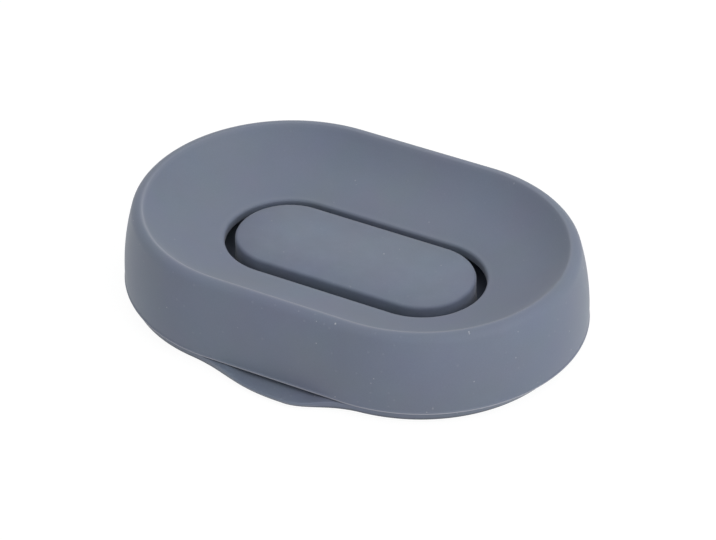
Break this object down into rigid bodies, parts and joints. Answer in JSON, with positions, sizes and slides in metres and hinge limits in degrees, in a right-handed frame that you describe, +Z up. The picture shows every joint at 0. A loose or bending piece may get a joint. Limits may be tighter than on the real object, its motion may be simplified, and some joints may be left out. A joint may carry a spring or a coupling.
{
  "type": "soap dish",
  "caption": "Draining soap dish: a skirted bowl with a long drain opening lifts off a drip tray with a pouring spout and a central soap rest.",
  "frame": {"origin": "middle of the object's box, on the surface that the feet stand on", "axes": "+X along the dish's long axis, -Y towards the spout, +Z up"},
  "size_m": [0.1364, 0.099, 0.0272],
  "materials": {
    "dish_silicone": "matte",
    "tray_silicone": "matte",
    "rest_silicone": "matte",
    "foot_rubber": "matte"
  },
  "bodies": {
    "base": {"drip_tray": "tray_silicone", "soap_rest": "rest_silicone", "foot_front_left": "foot_rubber", "foot_front_right": "foot_rubber", "foot_back_left": "foot_rubber", "foot_back_right": "foot_rubber"},
    "dish": {"upper_dish": "dish_silicone"}
  },
  "joints": [
    {"name": "dish_lift", "type": "slide", "parent": "base", "child": "dish", "axis": [0, 0, 1], "range_m": [0, 0.035]}
  ]
}
